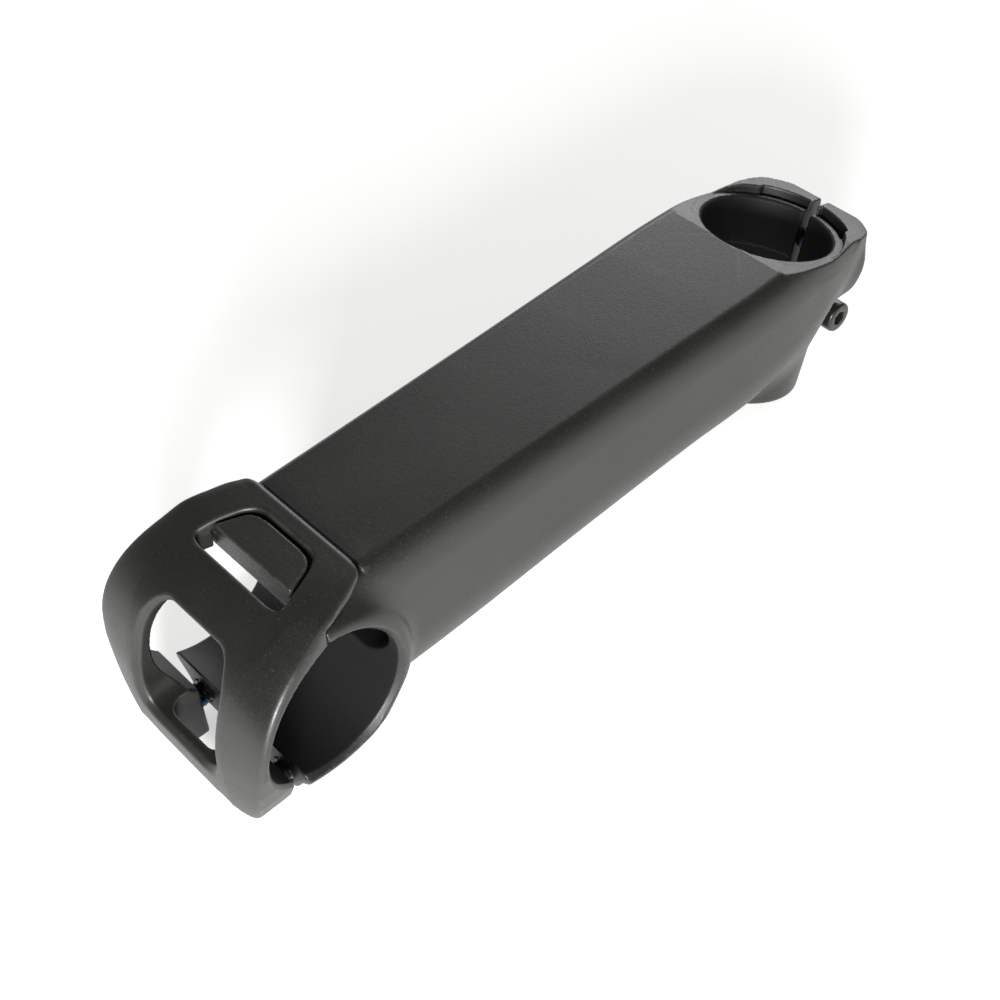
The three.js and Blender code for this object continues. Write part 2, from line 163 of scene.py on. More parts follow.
def surface_net(field, low, high, step):
    """The zero surface of a field over a box, as points and quads."""
    axes = [np.arange(a, b + step, step, dtype=np.float32) for a, b in zip(low, high)]
    x, y, z = axes[0][:, None, None], axes[1][None, :, None], axes[2][None, None, :]
    f = np.broadcast_to(field(x, y, z), [len(a) for a in axes]).astype(np.float32)
    f = np.ascontiguousarray(f)
    for sl in (np.s_[0], np.s_[-1], np.s_[:, 0], np.s_[:, -1], np.s_[:, :, 0], np.s_[:, :, -1]):
        f[sl] = np.maximum(f[sl], 0.05)
    shape = np.array(f.shape)
    strides = np.array([shape[1] * shape[2], shape[2], 1])
    ids, spots, quads = [], [], []
    for axis in range(3):
        a = f[tuple(slice(None, -1) if i == axis else slice(None) for i in range(3))]
        b = f[tuple(slice(1, None) if i == axis else slice(None) for i in range(3))]
        at = np.argwhere((a < 0) != (b < 0))
        fa, fb = a[tuple(at.T)], b[tuple(at.T)]
        cross = at.astype(np.float64)
        cross[:, axis] += fa / (fa - fb)
        u, v = (axis + 1) % 3, (axis + 2) % 3
        ring = []
        for du, dv in ((0, 0), (-1, 0), (-1, -1), (0, -1)):
            cell = at.copy()
            cell[:, u] += du
            cell[:, v] += dv
            ring.append(cell @ strides)
            ids.append(ring[-1])
            spots.append(cross)
        ring = np.stack(ring, 1)
        quads.append(np.where((fa < 0)[:, None], ring, ring[:, ::-1]))
    ids, spots = np.concatenate(ids), np.concatenate(spots)
    cells, index = np.unique(ids, return_inverse=True)
    count = np.bincount(index)
    points = np.stack([np.bincount(index, spots[:, i]) / count for i in range(3)], 1)
    quads = np.searchsorted(cells, np.concatenate(quads))
    return points * step + np.array([a[0] for a in axes]), quads


def slopes(field, points, h):
    """The field's gradient at points, and its Laplacian, which is high along outward edges."""
    x, y, z = points.T
    here = field(x, y, z)
    gradient, total = np.zeros_like(points), -6 * here
    for i, (dx, dy, dz) in enumerate(np.eye(3) * h):
        ahead, behind = field(x + dx, y + dy, z + dz), field(x - dx, y - dy, z - dz)
        gradient[:, i] = (ahead - behind) / (2 * h)
        total = total + ahead + behind
    return here, gradient, total / h**2


def settle(field, points, step, times):
    """Points moved onto the zero surface along its gradient, by no more than half a cell."""
    start = points.copy()
    for _ in range(times):
        value, gradient, _ = slopes(field, points, 0.1 * step)
        size = np.maximum((gradient**2).sum(1), 0.05)
        points = points - gradient * (value / size)[:, None]
        points = start + np.clip(points - start, -0.5 * step, 0.5 * step)
    return points


def thinned(points, quads, limit):
    """The mesh with no more than `limit` triangles."""
    mesh = bpy.data.meshes.new("dense")
    mesh.from_pydata(points.tolist(), [], quads.tolist())
    if 2 * len(quads) <= limit:
        return mesh
    holder = bpy.data.objects.new("dense", mesh)
    bpy.context.scene.collection.objects.link(holder)
    holder.modifiers.new("thin", "DECIMATE").ratio = limit / (2 * len(quads))
    thin = bpy.data.meshes.new_from_object(holder.evaluated_get(bpy.context.evaluated_depsgraph_get()))
    bpy.data.objects.remove(holder)
    return thin


def inside_bores(x, y, z):
    """1 on the walls of the two clamp bores and of the hollow, 0 outside: the mask of the painted shade and of
    the duller finish there.
    """
    xs, zs = steerer(x, z)
    from_bar = np.hypot(x - BAR_X, z - BAR_Z) - BAR_BORE
    from_steerer = np.hypot(xs, y) - STEERER_RELIEF
    half, top, bottom = (curve(HOLLOW, i, x) for i in (1, 2, 3))
    from_hollow = np.maximum(section(y, z, half, top, bottom, 6, 8, 8, 9), np.maximum(26 - x, x - 128)) - 0.3
    return np.clip(1.2 - np.minimum(np.minimum(from_bar, from_steerer), from_hollow) / 0.3, 0, 1)


def corner_normals(mesh, normals):
    """The field's normals at the corners of faces, but long faces across a flat keep their own normal."""
    at = np.empty(len(mesh.loops), int)
    mesh.loops.foreach_get("vertex_index", at)
    start, count = np.empty(len(mesh.polygons), int), np.empty(len(mesh.polygons), int)
    mesh.polygons.foreach_get("loop_start", start)
    mesh.polygons.foreach_get("loop_total", count)
    flat = np.empty(3 * len(mesh.polygons))
    mesh.polygons.foreach_get("normal", flat)
    points = np.empty(3 * len(mesh.vertices))
    mesh.vertices.foreach_get("co", points)
    points, face = points.reshape(-1, 3)[at], np.repeat(np.arange(len(count)), count)
    reach = np.linalg.norm(points - points[start[face]], axis=1)
    long = np.maximum.reduceat(reach, start)[face] > LONG_FACE
    flat = flat.reshape(-1, 3)[face]
    corner_normal = normals[at]
    off = (flat * corner_normal).sum(1) < 0.997
    return np.where((long & off)[:, None], flat, corner_normal)


def implicit_piece(name, field, low, high, step, body, node, material):
    """A piece from its field. The normals come from the field, so that the facets don't show."""
    points, quads = surface_net(field, low, high, step)
    mesh = thinned(settle(field, points, step, 2), quads, MOST_FACES)
    mesh.name = name
    points = np.empty(3 * len(mesh.vertices))
    mesh.vertices.foreach_get("co", points)
    points = settle(field, points.reshape(-1, 3), step, 1)
    _, normals, bend = slopes(field, points, 0.22)
    normals /= np.linalg.norm(normals, axis=1)[:, None] + 1e-9
    x, z = turned(normals[:, 0], normals[:, 2])
    edge = mesh.attributes.new("edge", "FLOAT", "POINT")
    edge.data.foreach_set("value", np.clip((bend - 0.35) / 1.6, 0, 1))
    # Mask of the bore and hollow walls: the material paints shade there and dulls the roughness.
    bore_shade_and_dull = mesh.attributes.new("bore_shade_and_dull", "FLOAT", "POINT")
    bore_shade_and_dull.data.foreach_set("value", inside_bores(*points.T))
    mesh.vertices.foreach_set("co", place(points).ravel())
    mesh.polygons.foreach_set("use_smooth", [True] * len(mesh.polygons))
    normals = np.stack([x, normals[:, 1], z], 1)
    mesh.normals_split_custom_set(corner_normals(mesh, normals).tolist())
    mesh.update()
    return add_piece(mesh, body, node, material)


def make_piece(name, points, faces, body, node, material):
    mesh = bpy.data.meshes.new(name)
    mesh.from_pydata(points.tolist(), [], [list(map(int, q)) for q in faces])
    mesh.polygons.foreach_set("use_smooth", [True] * len(mesh.polygons))
    mesh.set_sharp_from_angle(angle=math.radians(38))
    return add_piece(mesh, body, node, material)


def add_piece(mesh, body, node, material):
    piece = bpy.data.objects.new(mesh.name, mesh)
    bpy.context.scene.collection.objects.link(piece)
    mesh.materials.append(material)
    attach(piece, body)
    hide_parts(node)
    return piece


# ---- Stem body --------------------------------------------------------------------------------------------
# Place along X, half width, top, bottom.
BEAM = [(-20, 13, 45.9, 35), (-15, 14.8, 46.1, 29), (-8, 16.4, 46.2, 22), (0, 17.7, 46.2, 16.6),
        (8, 18.5, 46.2, 13.7), (20, 19, 46.2, 12.4), (40, 18.7, 46.2, 12), (70, 18.1, 46.2, 10.4),
        (110, 17.5, 46.2, 8), (139, 17.2, 46.2, 8)]
# The hollow inside the beam, in the same columns.
HOLLOW = [(27, 12, 40, 20), (36, 13.5, 41, 16.5), (104, 14.6, 41, 15.5), (114, 15.4, 41, 18.5),
          (122, 17.2, 40.5, 19.8), (127, 17.8, 40.5, 19.8)]
# Height on the steerer axis, back, half width.
HEEL = [(-24, -8.6, 9), (-18, -14.8, 11.4), (-15, -18, 13), (-12.7, -20.2, 14.2), (-9.6, -20.9, 14.9),
        (-5.5, -20.8, 15), (-3.2, -20.1, 14.8), (1.7, -18.2, 14.2), (3, -17.8, 13.8)]
# Half outline of the tongue, from its front corner back.
TONGUE = [(137, 10.9), (134.8, 10.2), (131, 8.4), (129.8, 6)]
THREAD_END = -11.0
PLATE_BOLT, PLATE_TILT, PLATE_SEAT, PLATE_THREAD = (145.8, 12.4, 5.5), math.radians(3), 4.8, 13.0
HEAD_HEIGHT, WASHER_T = 4.0, 0.8
# Screws: radii of the shank, its hole, the head and the room round it, then key size and pitch.
M5 = {"shank": 2.5, "hole": 2.62, "head": 3.9, "room": 4.2, "flats": 4.0, "pitch": 0.8}
M4 = {"shank": 2.0, "hole": 2.15, "head": 3.5, "room": 4.1, "flats": 3.0, "pitch": 0.7}


def steerer(x, z):
    """Design frame to the steerer's own frame."""
    return (math.cos(LEAN) * x + math.sin(LEAN) * (z - STEERER_TOP),
            -math.sin(LEAN) * x + math.cos(LEAN) * (z - STEERER_TOP))


def plate_bolt_distance(x, y, z, side):
    """Distance from a faceplate bolt's axis, and the place along it, forwards."""
    dx, dz = x - PLATE_BOLT[0], z - PLATE_BOLT[2]
    along = dx * math.cos(PLATE_TILT) - dz * math.sin(PLATE_TILT)
    across = dx * math.sin(PLATE_TILT) + dz * math.cos(PLATE_TILT)
    return np.hypot(across, y - side * PLATE_BOLT[1]), along


def mirrored(corners):
    """A whole outline from its half on the +Y side."""
    return list(corners) + [(a, -b) for a, b in reversed(corners)]


def body_field(x, y, z):
    ay = np.abs(y)
    half, top, bottom = (curve(BEAM, i, x) for i in (1, 2, 3))
    f = section(y, z, half, top, bottom, 4.6, 8.6, 9, 15)
    f = smax(f, x - 139, 1)
    f = smax(f, -20 - x, 1)

    xs, zs = steerer(x, z)
    rs = np.hypot(xs, y)
    back, wide = curve(HEEL, 1, zs), curve(HEEL, 2, zs)
    bow = 0.9 * np.clip(ay / wide, 0, 1) ** 2
    heel = box2(back + bow - xs, ay - wide, 2.4)
    heel = np.maximum(np.maximum(heel, xs - 2), np.maximum(zs - 3, -24 - zs))
    f = smin(f, heel, 2.5)
    barrel = smax(rs - np.where(zs < -14, BARREL, BARREL + 0.4), -STEERER_STACK - zs, 1.4)
    f = smin(f, np.maximum(barrel, zs + 5), 2.5)
    ears = np.maximum(box2(-20.7 - xs, ay - 8.7, 2.2), np.maximum(xs + 10, box2(-27 - zs, xs + 10, 1)))
    f = smin(f, smax(ears, zs + 3, 0.8), 1.2)

    rb = np.hypot(x - BAR_X, z - BAR_Z)
    clamp = smax(rb - RING, ay - RING_HALF, 2.4)
    f = smin(f, clamp, 5.0)
    wall = np.where(z > 11, 20.5, 20.5 - (11 - z) * 0.57) - np.interp(x, (117, 125, 131, 147), (6, 2.6, 0.7, 0))
    jaw = smax(smax(ay - wall, 1.6 - z, 2.0), np.maximum(z - 16, 120 - x), 1.5)
    f = smin(f, np.maximum(jaw, x - 148), 3.0)

    # Machined faces.
    rim = np.interp(xs, (-9, -1, 14, 22), (RIM, 0, 0, 8))
    f = smax(f, zs - rim, 0.3)
    f = smax(f, -np.maximum(np.maximum(rs - FACE, ay - FACE_HALF), np.maximum(-zs, xs - 10)), 0.25)
    f = smax(f, smin(x - UPPER_SPLIT, z - (BAR_Z - 6), 0.5), 0.4)
    f = smax(f, x - LOWER_SPLIT, 0.8)
    f = smax(f, smin(x - SEAT_BACK, z - SEAT, 0.4), 0.4)
    tongue = outline_distance(x, y, mirrored(TONGUE), 0.7)
    f = np.minimum(f, np.maximum(smax(tongue, z - TONGUE_TOP, 0.35), 43.5 - z))

    # Bores, hollow and slit.
    f = smax(f, BAR_BORE - rb, 0.5)
    f = np.maximum(f, (BAR_BORE - rb + ay - RING_HALF + 0.9) * 0.707)
    f = smax(f, STEERER_BORE - rs, 0.4)
    f = np.maximum(f, (STEERER_BORE - rs + zs + 0.5) * 0.707)
    f = smax(f, -np.maximum(rs - STEERER_RELIEF, np.maximum(zs + 11.5, -29 - zs)), 0.3)
    h_half, h_top, h_bottom = (curve(HOLLOW, i, x) for i in (1, 2, 3))
    hollow = section(y, z, h_half, h_top, h_bottom, 6, 8, 8, 9)
    f = smax(f, -np.maximum(hollow, np.maximum(27 - x, x - 127)), 0.6)
    slot = np.maximum(box2(np.abs(x - 40) - 13, ay - 7, 6), z - 22)
    f = smax(f, -slot, 0.8)
    f = smax(f, -np.maximum(ay - SLIT / 2, xs + 10), 0.3)
    pocket = np.maximum(np.abs(rs - FACE - 0.3) - 0.6, np.maximum(np.abs(ay - 6.5) - 5, -4 - zs))
    f = smax(f, -np.maximum(pocket, xs + 10), 0.3)

    # Bolt holes and the seats of the bolt heads.
    for side in (-1, 1):
        across, along = plate_bolt_distance(x, y, z, side)
        f = smax(f, -np.maximum(across - M5["hole"], -PLATE_THREAD - 2 - along), 0.3)
    for height, seat, side in STEERER_BOLTS.values():
        across, along = np.hypot(xs - BOLT_X, zs - height), y * side
        f = smax(f, -np.maximum(across - M4["hole"], THREAD_END - 1 - along), 0.3)
        f = smax(f, -np.maximum(across - M4["room"], seat - along), 0.4)
    return f


# ---- Faceplate --------------------------------------------------------------------------------------------
# Outer point of the panel and of the side edge in the XZ plane, the half widths of panel and side edges.
PLATE = [((124.8, 47.7), (125, 46.9), 11.5, 13.8), ((125.6, 47.9), (125.8, 46.9), 12.6, 15.4),
         ((127.6, 47.95), (127.8, 46.8), 14, 16.9), ((132.5, 47.84), (132.6, 46.4), 15.6, 18.9),
         ((137, 47.3), (136.9, 45.9), 16.2, 20.4), ((141.6, 46), (140.8, 44.2), 16, 21.4),
         ((146.6, 43.9), (145.8, 42), 15.6, 22.5), ((150.4, 41.4), (149.2, 39.8), 15, 23.2),
         ((153.3, 38.3), (151.9, 37.2), 14.6, 23.7), ((155.7, 34.2), (154.2, 33.8), 14.2, 24.1),
         ((157.4, 29.4), (155.8, 29.4), 14, 24.29), ((158.6, 24), (156.6, 24.2), 14, 23.8),
         ((159.07, 18), (156.9, 18.4), 14, 22.4), ((159.07, 12.5), (156.9, 12.5), 14, 20.4),
         ((158.6, 8), (156.4, 7.5), 14, 18.6), ((157.4, 4.4), (155.4, 3.4), 14, 17.2),
         ((155.6, 1.6), (154, 1.2), 13.6, 16.2), ((153.6, 0.2), (153, 0.2), 13.2, 15.4)]
# Half outlines of the windows: the upper one in X and Y, the lower one in Z and Y.
UPPER_WINDOW = [(141, 10.9), (140.2, 12.2), (135, 11), (130.4, 8.9), (129, 7.0)]
LOWER_WINDOW = [(15, 8.6), (17.6, 11.2), (30, 11.8), (36, 11.4), (40.4, 8.4)]
SCALLOP_FRONT, SCALLOP_HALF = 156.2, 7.4
SIDE_AT = (0.2, 1.4, 4, 8, 12.5, 18, 24, 29.4)     # heights of the lower half's side edges
SIDE = (14, 15, 16.8, 19.1, 20.9, 22.5, 23.8, 24.29)


def polar(point):
    """Angle down from the back around the bar, and radius."""
    dx, dz = point[0] - BAR_X, point[1] - BAR_Z
    return -math.degrees(math.atan2(dz, dx)), math.hypot(dx, dz)


def plate_field(x, y, z):
    ay = np.abs(y)
    dx, dz = x - BAR_X, z - BAR_Z
    rb = np.hypot(dx, dz)
    angle = -np.degrees(np.arctan2(dz, dx))
    outer = [polar(panel_point) for panel_point, _, _, _ in PLATE]
    edge = [(*polar(side_point), panel, side) for _, side_point, panel, side in PLATE]
    r_panel, r_side = curve(outer, 1, angle), curve(edge, 1, angle)
    low = z < SIDE_AT[-1]
    panel = np.where(low, np.interp(z, (0.2, 4, 9), (12, 13.6, 14)), curve(edge, 2, angle))
    width = np.where(low, np.interp(z, SIDE_AT, SIDE), curve(edge, 3, angle))
    t = np.clip((ay - panel) / (width - panel), 0, 1)
    fall = 0.45 * t + 0.55 * (1 - np.sqrt(np.maximum(1 - t * t, 0)))
    skin = r_panel + (r_side - r_panel) * fall
    d = rb - skin
    f = smax(d * 0.9, (ay - width) * 0.9, 0.8)
    f = smax(f, 125.0 - x, 1.2)
    f = smax(f, 0.25 - z, 1.2)
    f = np.maximum(f, np.where((angle > 60) & (x < LUG_BACK - 0.5), 1.0, -50))
    f = smax(f, BAR_BORE - rb, 0.4)
    f = np.maximum(f, (BAR_BORE - rb + ay - width + 0.8) * 0.707)
    f = smax(f, -smax(x - UPPER_SPLIT - GAP, z - SEAT - GAP, 0.3), 0.4)
    f = smax(f, -np.maximum(x - LUG_BACK, z - 16), 0.4)
    scallop = box2(x - SCALLOP_FRONT, ay - SCALLOP_HALF, 3)
    f = smax(f, -np.maximum(scallop, z - 26), 0.8)

    # Windows, each with a chamfer on its outer edge.
    upper = np.maximum(outline_distance(x, y, mirrored(UPPER_WINDOW), 1.0), 35 - z)
    lower = np.maximum(outline_distance(z, y, mirrored(LOWER_WINDOW), 2.0), 144 - x)
    for window, chamfer in ((upper, 0.35), (lower, 1.25)):
        f = smax(f, -window, 0.3)
        f = smax(f, (chamfer + d - window) * 0.707, 0.3)
    for side in (-1, 1):
        across, along = plate_bolt_distance(x, y, z, side)
        f = smax(f, -(across - M5["hole"]), 0.3)
        f = smax(f, -np.maximum(across - M5["room"], PLATE_SEAT - along), 0.4)
    return f


# ---- Bolts, washers and thread-lock -----------------------------------------------------------------------
ROOT = 0.45                         # depth of the thread
SOCKET_DEPTH = 2.4


def basis(axis):
    """Two directions at right angles to an axis and to each other."""
    axis = np.array(axis, float)
    side = np.cross(axis, (0, 0, 1) if abs(axis[2]) < 0.9 else (1, 0, 0))
    side /= np.linalg.norm(side)
    return side, np.cross(axis, side)


def around(origin, axis, rings, closed=True):
    """Points and quads of a body turned round an axis; each ring is (radii, places along) over the angles."""
    u, v = basis(axis)
    axis, origin = np.array(axis, float), np.array(origin, float)
    n = len(rings[0][0])
    turn = np.linspace(0, 2 * math.pi, n, endpoint=False)
    spokes = np.cos(turn)[:, None] * u + np.sin(turn)[:, None] * v
    points = np.concatenate([origin + spokes * np.asarray(r)[:, None] + axis * np.asarray(s)[:, None]
                             for r, s in rings])
    quads = []
    count = len(rings)
    for j in range(count if closed else count - 1):
        k = (j + 1) % count
        for i in range(n):
            m = (i + 1) % n
            quads.append((j * n + i, j * n + m, k * n + m, k * n + i))
    if not closed:
        quads.append(tuple(range(n))[::-1])
        quads.append(tuple((count - 1) * n + i for i in range(n)))
    return points, quads


def flat_ring(radius, along, n):
    return np.full(n, float(radius)), np.full(n, float(along))


def hexagon(flats, n):
    turn = np.linspace(0, 2 * math.pi, n, endpoint=False)
    return flats / 2 / np.cos((turn + math.pi / 6) % (math.pi / 3) - math.pi / 6)


def bolt_rings(screw, seat, tip, n=72):
    """A socket head cap screw: tip, thread, plain neck, head with rolled edges, hex socket."""
    turn = np.linspace(0, 2 * math.pi, n, endpoint=False)
    shank, head, pitch = screw["shank"], screw["head"], screw["pitch"]
    rings = [flat_ring(0.4, tip, n), flat_ring(shank - 0.75, tip, n)]
    for s in np.arange(tip + 0.1, seat - 0.9, pitch / 10):
        wave = np.abs(((s / pitch - turn / (2 * math.pi)) % 1) * 2 - 1)
        tooth = np.clip(wave * 1.25 - 0.12, 0, 1)
        start = np.clip((s - tip) / 0.7, 0, 1)
        fade = start * np.clip((seat - 0.9 - s) / 0.5, 0, 1)
        rings.append((shank - ROOT - 0.25 * (1 - start) + ROOT * tooth * fade, np.full(n, s)))
    top = seat + HEAD_HEIGHT
    for r, s in ((shank - 0.3, seat - 0.6), (shank - 0.1, seat - 0.15), (shank + 0.15, seat),
                 (head - 0.2, seat), (head - 0.05, seat + 0.06), (head, seat + 0.2), (head, top - 0.6),
                 (head - 0.06, top - 0.35), (head - 0.2, top - 0.14), (head - 0.42, top - 0.02),
                 (head - 0.6, top), (screw["flats"] * 0.6 + 0.3, top)):
        rings.append(flat_ring(r, s, n))
    for grow, depth in ((0.3, 0.0), (0.12, 0.06), (0.0, 0.3), (0.0, SOCKET_DEPTH - 0.1), (-0.15, SOCKET_DEPTH)):
        rings.append((hexagon(screw["flats"], n) + grow, np.full(n, top - depth)))
    rings.append(flat_ring(0.8, top - SOCKET_DEPTH - 0.25, n))
    rings.append(flat_ring(0.1, top - SOCKET_DEPTH - 0.3, n))
    return rings


def washer_rings(screw, seat, n=72):
    low, high = seat + GAP, seat + GAP + WASHER_T
    inner, outer, b = screw["shank"] + GAP, screw["head"], 0.14
    loop = ((inner, low + b), (inner + b, low), (outer - b, low), (outer - 0.04, low + 0.04), (outer, low + b),
            (outer, high - b), (outer - 0.04, high - 0.04), (outer - b, high), (inner + b, high),
            (inner, high - b))
    return [flat_ring(r, s, n) for r, s in loop]


def patch_shell(screw, origin, axis, middle, towards, length, spread):
    """Thread-lock: a skin that lies over the thread's crests on one side of the bolt."""
    u, v = basis(axis)
    axis, origin = np.array(axis, float), np.array(origin, float)
    start = math.atan2(np.dot(towards, v), np.dot(towards, u))
    rows, columns = 30, 44
    outer, inner = [], []
    for j in range(rows):
        for i in range(columns):
            a, b = i / (columns - 1) * 2 - 1, j / (rows - 1) * 2 - 1
            turn = start + a * math.pi * spread * (1 - 0.12 * b * b)
            s = middle + b * length / 2 * (1 - 0.25 * a * a) * 0.99
            wave = abs(((s / screw["pitch"] - turn / (2 * math.pi)) % 1) * 2 - 1)
            swell = max(0.0, (1 - a**4) * (1 - b**4)) ** 0.5
            r = screw["shank"] - 0.22 + 0.22 * swell * (0.45 + 0.55 * wave)
            spoke = math.cos(turn) * u + math.sin(turn) * v
            outer.append(origin + spoke * r + axis * s)
            inner.append(origin + spoke * (screw["shank"] - 0.42) + axis * s)
    quads = []
    top = rows * columns
    for j in range(rows - 1):
        for i in range(columns - 1):
            a = j * columns + i
            quads.append((a, a + 1, a + 1 + columns, a + columns))
            quads.append((top + a, top + a + columns, top + a + 1 + columns, top + a + 1))
    rim = [i for i in range(columns)] + [j * columns + columns - 1 for j in range(1, rows)]
    rim += [(rows - 1) * columns + i for i in range(columns - 2, -1, -1)]
    rim += [j * columns for j in range(rows - 2, 0, -1)]
    for a, b in zip(rim, rim[1:] + rim[:1]):
        quads.append((b, a, top + a, top + b))
    return np.array(outer + inner), quads


# ---- Materials --------------------------------------------------------------------------------------------
class Nodes:
    """Short calls that build a material's node tree."""

    def __init__(self, name):
        self.material = bpy.data.materials.new(name)
        self.material.use_nodes = True
        self.tree = self.material.node_tree
        self.tree.nodes.clear()
        self.out = self.add("ShaderNodeOutputMaterial")
        self.shader = self.add("ShaderNodeBsdfPrincipled")
        self.join(self.shader, "BSDF", self.out, "Surface")
        self.place = self.add("ShaderNodeTexCoord")

    def add(self, kind, **settings):
        node = self.tree.nodes.new(kind)
        for key, value in settings.items():
            setattr(node, key, value)
        return node

    def join(self, a, out, b, into):
        self.tree.links.new(a.outputs[out], b.inputs[into])

    def noise(self, scale, detail=3.0, roughness=0.55):
        node = self.add("ShaderNodeTexNoise")
        node.inputs["Scale"].default_value = scale
        node.inputs["Detail"].default_value = detail
        node.inputs["Roughness"].default_value = roughness
        self.join(self.place, "Object", node, "Vector")
        return node

    def spread(self, source, out, low, high, a, b):
        """The source between low and high becomes a to b."""
        node = self.add("ShaderNodeMapRange")
        for key, value in zip(("From Min", "From Max", "To Min", "To Max"), (low, high, a, b)):
            node.inputs[key].default_value = value
        self.join(source, out, node, "Value")
        return node

    def math(self, kind, a, b, out_a=0, out_b=0):
        node = self.add("ShaderNodeMath", operation=kind)
        self.tree.links.new(a.outputs[out_a], node.inputs[0])
        if isinstance(b, (int, float)):
            node.inputs[1].default_value = b
        else:
            self.tree.links.new(b.outputs[out_b], node.inputs[1])
        return node

    def blend(self, factor, a, b):
        """A colour between two colours, by a factor."""
        node = self.add("ShaderNodeValToRGB")
        node.color_ramp.elements[0].color = (*a, 1)
        node.color_ramp.elements[1].color = (*b, 1)
        self.tree.links.new(factor.outputs[0], node.inputs[0])
        return node

    def layer(self, below, out_below, factor, out_factor, colour):
        """A plain colour laid over another by a factor."""
        node = self.add("ShaderNodeMix", data_type="RGBA")
        node.inputs[7].default_value = (*colour, 1)
        self.tree.links.new(below.outputs[out_below], node.inputs[6])
        self.tree.links.new(factor.outputs[out_factor], node.inputs[0])
        return node

    def bump(self, source, strength, distance, before=None):
        node = self.add("ShaderNodeBump")
        node.inputs["Strength"].default_value = strength
        node.inputs["Distance"].default_value = distance
        self.tree.links.new(source.outputs[0], node.inputs["Height"])
        if before:
            self.join(before, "Normal", node, "Normal")
        return node


def edge_wear(n, low=0.52, high=0.62):
    """Strong on outward edges, from the mesh's own curvature."""
    geometry = n.add("ShaderNodeNewGeometry")
    return n.spread(geometry, "Pointiness", low, high, 0, 1)


def anodised():
    """Black anodised aluminium: a fine blasted grain with painted glints, lighter along its edges, and painted
    shade on the walls of the bores and the hollow.
    """
    n = Nodes("black_anodised")
    cloud = n.spread(n.noise(60, 4), 0, 0.3, 0.7, 0, 1)
    grain = n.noise(2600, 2, 0.7)
    speck = n.spread(grain, 0, 0.64, 0.80, 0, 1)
    base = n.blend(cloud, (0.0085, 0.0090, 0.0070), (0.0120, 0.0127, 0.0100))
    edge = n.add("ShaderNodeAttribute", attribute_name="edge")
    bore_shade_and_dull = n.add("ShaderNodeAttribute", attribute_name="bore_shade_and_dull")
    worn = n.math("MULTIPLY", edge, n.spread(n.noise(300, 3), 0, 0.35, 0.6, 0.25, 0.9), out_a=2)
    lighter = n.layer(base, 0, worn, 0, (0.045, 0.046, 0.041))
    # Painted glints: light specks that follow the blasted grain, painted into the colour in place of its
    # sparkle.
    grain_glints = n.layer(lighter, 2, speck, 0, (0.075, 0.077, 0.072))
    # Painted shade: the walls of the bores and the hollow are darkened to stand in for the shade inside them.
    colour = n.layer(grain_glints, 2, bore_shade_and_dull, 2, (0.0022, 0.0022, 0.0018))
    n.tree.links.new(colour.outputs[2], n.shader.inputs["Base Color"])
    n.shader.inputs["Metallic"].default_value = 0.0
    n.shader.inputs["Specular IOR Level"].default_value = 0.75
    rough = n.math("ADD", n.spread(grain, 0, 0.2, 0.8, 0.34, 0.52), n.spread(cloud, 0, 0, 1, -0.03, 0.03))
    dull = n.math("MAXIMUM", rough, n.spread(bore_shade_and_dull, 2, 0, 1, 0, 0.62))
    n.tree.links.new(dull.outputs[0], n.shader.inputs["Roughness"])
    fine = n.bump(grain, 0.25, 0.00010)
    wide = n.bump(n.noise(900, 3), 0.08, 0.0002, fine)
    n.join(wide, "Normal", n.shader, "Normal")
    return n.material


def steel(name, dark, light, rough):
    n = Nodes(name)
    grain = n.noise(1500, 3, 0.6)
    base = n.blend(n.spread(n.noise(250, 4), 0, 0.3, 0.7, 0, 1), dark, light)
    worn = n.layer(base, 0, edge_wear(n, 0.53, 0.66), 0, (0.24, 0.24, 0.235))
    n.tree.links.new(worn.outputs[2], n.shader.inputs["Base Color"])
    n.shader.inputs["Metallic"].default_value = 0.8
    n.tree.links.new(n.spread(grain, 0, 0.3, 0.7, rough - 0.07, rough + 0.08).outputs[0],
                     n.shader.inputs["Roughness"])
    n.join(n.bump(grain, 0.2, 0.0001), "Normal", n.shader, "Normal")
    return n.material


def lock_paste():
    """Dried thread-lock: a matt blue film with darker thin spots."""
    n = Nodes("thread_lock")
    patch = n.spread(n.noise(900, 4), 0, 0.35, 0.65, 0, 1)
    base = n.blend(patch, (0.012, 0.13, 0.42), (0.03, 0.26, 0.66))
    n.tree.links.new(base.outputs[0], n.shader.inputs["Base Color"])
    n.tree.links.new(n.spread(patch, 0, 0, 1, 0.45, 0.6).outputs[0], n.shader.inputs["Roughness"])
    n.join(n.bump(n.noise(2200, 3), 0.3, 0.0002), "Normal", n.shader, "Normal")
    return n.material


def paper():
    n = Nodes("table")
    tone = n.blend(n.noise(12, 2), (0.93, 0.93, 0.925), (0.95, 0.95, 0.945))
    n.tree.links.new(tone.outputs[0], n.shader.inputs["Base Color"])
    n.shader.inputs["Roughness"].default_value = 0.9
    n.shader.inputs["Specular IOR Level"].default_value = 0.1
    n.shader.inputs["Emission Color"].default_value = (1, 1, 0.99, 1)
    n.shader.inputs["Emission Strength"].default_value = 0.56
    n.join(n.bump(n.noise(400, 3), 0.05, 0.0002), "Normal", n.shader, "Normal")
    return n.material


# ---- The pieces -------------------------------------------------------------------------------------------
BLACK = anodised()
BOLT_BLACK = steel("bolt_steel", (0.042, 0.042, 0.039), (0.075, 0.075, 0.069), 0.30)
WASHER_GREY = steel("washer_steel", (0.10, 0.10, 0.10), (0.16, 0.16, 0.155), 0.38)
PASTE = lock_paste()

coarse = 1.0
implicit_piece("stem_body_skin", body_field, (-27.0, -21.4, -0.6), (149.5, 21.4, 48.2), 0.46 * coarse,
               "stem", "stem_body", BLACK)
implicit_piece("faceplate_skin", plate_field, (123.5, -25.3, -0.6), (160.5, 25.3, 49.0), 0.36 * coarse,
               "stem", "faceplate", BLACK)

